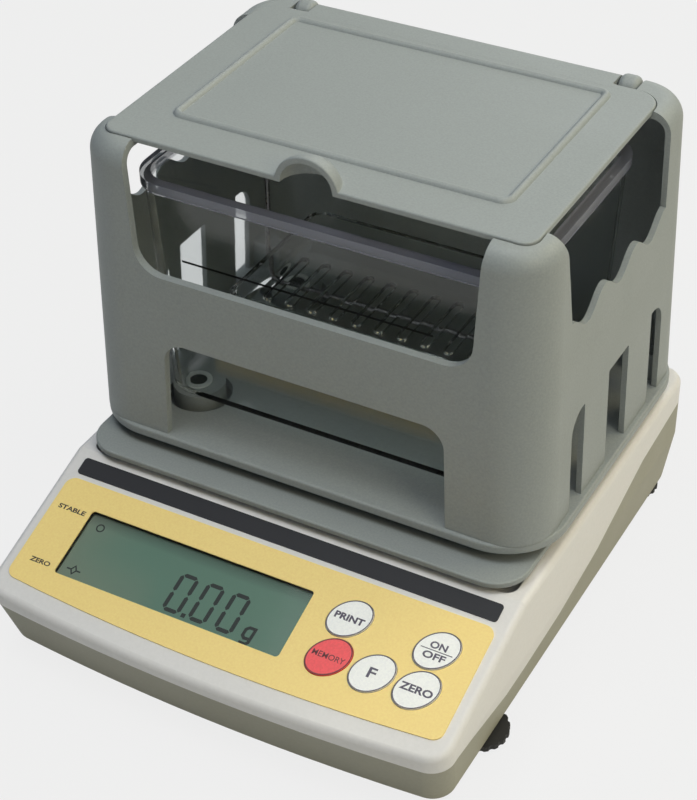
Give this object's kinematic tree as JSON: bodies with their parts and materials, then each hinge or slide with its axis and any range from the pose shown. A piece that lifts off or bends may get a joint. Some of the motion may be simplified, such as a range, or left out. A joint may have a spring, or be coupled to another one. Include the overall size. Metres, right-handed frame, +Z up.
{
  "type": "benchtop density meter",
  "caption": "Benchtop density balance with a sloping key panel, a water tank and a basket under a hinged draught shield lid.",
  "frame": {"origin": "on the bench, under the middle of the overall outline", "axes": "+Z up, +X to the operator's right, -Y towards the operator and the panel"},
  "size_m": [0.1938, 0.225, 0.1979],
  "materials": {
    "cream": "satin",
    "taupe": "satin",
    "shield_grey": "satin",
    "plate_grey": "satin",
    "smoked_clear": "polished",
    "overlay_yellow": "satin",
    "strip_navy": "polished",
    "lcd_green": "polished",
    "clear": "polished",
    "key_white": "satin",
    "key_red": "satin",
    "rubber_black": "matte",
    "knob_black": "matte",
    "steel": "satin",
    "chrome": "polished",
    "aluminium": "satin",
    "board_green": "satin",
    "black_plastic": "satin"
  },
  "bodies": {
    "case": {"lower_case": "taupe", "upper_case": "cream", "panel_overlay": "overlay_yellow", "title_strip": "strip_navy", "lcd_window": "clear", "lcd_glass": "lcd_green", "lcd_frame": "black_plastic", "key_board": "board_green", "key_board_screws": "steel", "key_switches": "black_plastic", "main_board": "board_green", "board_chips": "black_plastic", "board_standoffs": "steel", "board_screws": "steel", "dc_jack": "black_plastic", "serial_connector": "steel", "load_cell": "aluminium", "load_cell_mount": "aluminium", "load_cell_screws": "steel", "overload_stop": "steel", "case_screws": "steel", "tank_stand": "plate_grey", "stand_screws": "steel", "boss_rings": "chrome", "tank": "smoked_clear"},
    "weighed_frame": {"load_bracket": "aluminium", "spider": "aluminium", "spider_pads": "rubber_black", "weighing_tray": "shield_grey", "draught_shield": "shield_grey", "shield_screws": "steel", "hinge_pins": "steel", "hanger_rails": "steel", "basket_hanger": "steel", "basket": "clear"},
    "lid": {"lid": "shield_grey"},
    "key_print": {"key_print": "key_white"},
    "key_on_off": {"key_on_off": "key_white"},
    "key_memory": {"key_memory": "key_red"},
    "key_function": {"key_function": "key_white"},
    "key_zero": {"key_zero": "key_white"},
    "foot_pad_front_left": {"foot_pad_front_left": "rubber_black"},
    "foot_knob_front_left": {"foot_knob_front_left": "knob_black", "foot_stud_front_left": "steel"},
    "foot_pad_front_right": {"foot_pad_front_right": "rubber_black"},
    "foot_knob_front_right": {"foot_knob_front_right": "knob_black", "foot_stud_front_right": "steel"},
    "foot_pad_rear_left": {"foot_pad_rear_left": "rubber_black"},
    "foot_knob_rear_left": {"foot_knob_rear_left": "knob_black", "foot_stud_rear_left": "steel"},
    "foot_pad_rear_right": {"foot_pad_rear_right": "rubber_black"},
    "foot_knob_rear_right": {"foot_knob_rear_right": "knob_black", "foot_stud_rear_right": "steel"}
  },
  "joints": [
    {"name": "load_cell_flex", "type": "slide", "parent": "case", "child": "weighed_frame", "axis": [0, 0, 1], "range_m": [-0.00025, 0], "stiffness_N_per_m": 40000, "springref_m": 0.0004},
    {"name": "lid_hinge", "type": "hinge", "parent": "weighed_frame", "child": "lid", "pos_m": [0, 0.093, 0.1846], "axis": [-1, 0, 0], "range_deg": [0, 100]},
    {"name": "key_print_press", "type": "slide", "parent": "case", "child": "key_print", "axis": [0, 0.3239, -0.9461], "range_m": [0, 0.0006], "stiffness_N_per_m": 900, "springref_m": -0.0006},
    {"name": "key_on_off_press", "type": "slide", "parent": "case", "child": "key_on_off", "axis": [0, 0.3239, -0.9461], "range_m": [0, 0.0006], "stiffness_N_per_m": 900, "springref_m": -0.0006},
    {"name": "key_memory_press", "type": "slide", "parent": "case", "child": "key_memory", "axis": [0, 0.3239, -0.9461], "range_m": [0, 0.0006], "stiffness_N_per_m": 900, "springref_m": -0.0006},
    {"name": "key_function_press", "type": "slide", "parent": "case", "child": "key_function", "axis": [0, 0.3239, -0.9461], "range_m": [0, 0.0006], "stiffness_N_per_m": 900, "springref_m": -0.0006},
    {"name": "key_zero_press", "type": "slide", "parent": "case", "child": "key_zero", "axis": [0, 0.3239, -0.9461], "range_m": [0, 0.0006], "stiffness_N_per_m": 900, "springref_m": -0.0006},
    {"name": "foot_height_front_left", "type": "slide", "parent": "case", "child": "foot_pad_front_left", "axis": [0, 0, -1], "range_m": [0, 0.003]},
    {"name": "foot_turn_front_left", "type": "hinge", "parent": "foot_pad_front_left", "child": "foot_knob_front_left", "pos_m": [-0.0855, -0.0595, 0.002], "axis": [0, 0, -1], "range_deg": [0, 1080]},
    {"name": "foot_height_front_right", "type": "slide", "parent": "case", "child": "foot_pad_front_right", "axis": [0, 0, -1], "range_m": [0, 0.003]},
    {"name": "foot_turn_front_right", "type": "hinge", "parent": "foot_pad_front_right", "child": "foot_knob_front_right", "pos_m": [0.0855, -0.0595, 0.002], "axis": [0, 0, -1], "range_deg": [0, 1080]},
    {"name": "foot_height_rear_left", "type": "slide", "parent": "case", "child": "foot_pad_rear_left", "axis": [0, 0, -1], "range_m": [0, 0.003]},
    {"name": "foot_turn_rear_left", "type": "hinge", "parent": "foot_pad_rear_left", "child": "foot_knob_rear_left", "pos_m": [-0.0815, 0.097, 0.002], "axis": [0, 0, -1], "range_deg": [0, 1080]},
    {"name": "foot_height_rear_right", "type": "slide", "parent": "case", "child": "foot_pad_rear_right", "axis": [0, 0, -1], "range_m": [0, 0.003]},
    {"name": "foot_turn_rear_right", "type": "hinge", "parent": "foot_pad_rear_right", "child": "foot_knob_rear_right", "pos_m": [0.0815, 0.097, 0.002], "axis": [0, 0, -1], "range_deg": [0, 1080]}
  ],
  "couplings": [
    {"joint": "foot_turn_front_left", "follows": "foot_height_front_left", "rad_per_m": 6283.2},
    {"joint": "foot_turn_front_right", "follows": "foot_height_front_right", "rad_per_m": 6283.2},
    {"joint": "foot_turn_rear_left", "follows": "foot_height_rear_left", "rad_per_m": 6283.2},
    {"joint": "foot_turn_rear_right", "follows": "foot_height_rear_right", "rad_per_m": 6283.2}
  ]
}
